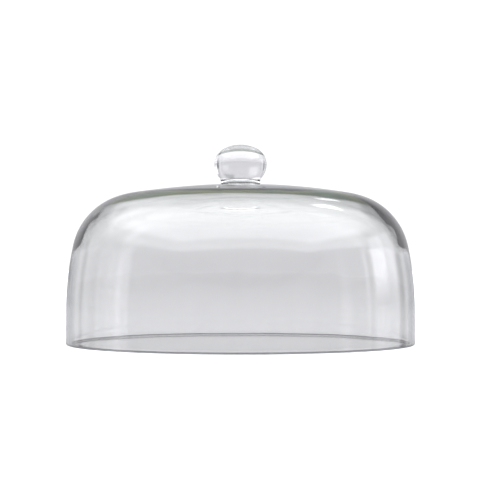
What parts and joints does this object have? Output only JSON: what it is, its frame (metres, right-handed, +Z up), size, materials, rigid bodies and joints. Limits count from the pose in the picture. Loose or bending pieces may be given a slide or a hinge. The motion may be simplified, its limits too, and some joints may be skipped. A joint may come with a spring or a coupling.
{
  "type": "glass cake stand dome",
  "caption": "Clear glass bell with a flat crown, rounded shoulders and a solid ball knob, which stands over a cake on a plate or stand.",
  "frame": {"origin": "centre of the rim, in the plane that the rim rests on", "axes": "+Z up along the axis of revolution, from the rim to the knob"},
  "size_m": [0.3, 0.3, 0.172],
  "materials": {
    "dome_glass": "clear soda-lime glass, fire polished, faint grey-green tint where it is thick",
    "knob_glass": "clear solid glass, fire polished, nearly colourless"
  },
  "bodies": {
    "root": {"dome_shell": "dome_glass", "knob": "knob_glass"}
  },
  "joints": []
}
